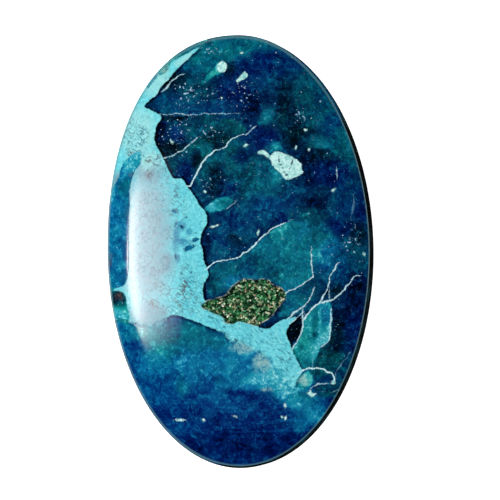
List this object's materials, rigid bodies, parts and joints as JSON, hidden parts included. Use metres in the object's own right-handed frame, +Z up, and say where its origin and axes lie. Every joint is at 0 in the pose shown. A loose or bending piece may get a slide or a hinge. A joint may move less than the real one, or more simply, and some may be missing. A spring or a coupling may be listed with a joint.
{
  "type": "shattuckite cabochon",
  "caption": "Oval domed cabochon of polished blue and turquoise shattuckite with a flat back and a small open pocket of green malachite crystals.",
  "frame": {"origin": "middle of the flat back", "axes": "+Z up out of the dome, +Y along the oval's long axis, +X to the right as the face is seen in the picture"},
  "size_m": [0.0296, 0.048, 0.0066],
  "materials": {
    "polished_stone": "polished dome, deep blue and teal with pale turquoise areas and veins; dark matt wall and back",
    "malachite_crystals": "fine glassy crystals, dark green with pale glints"
  },
  "bodies": {
    "root": {"cabochon": "polished_stone", "malachite_druse": "malachite_crystals"}
  },
  "joints": []
}
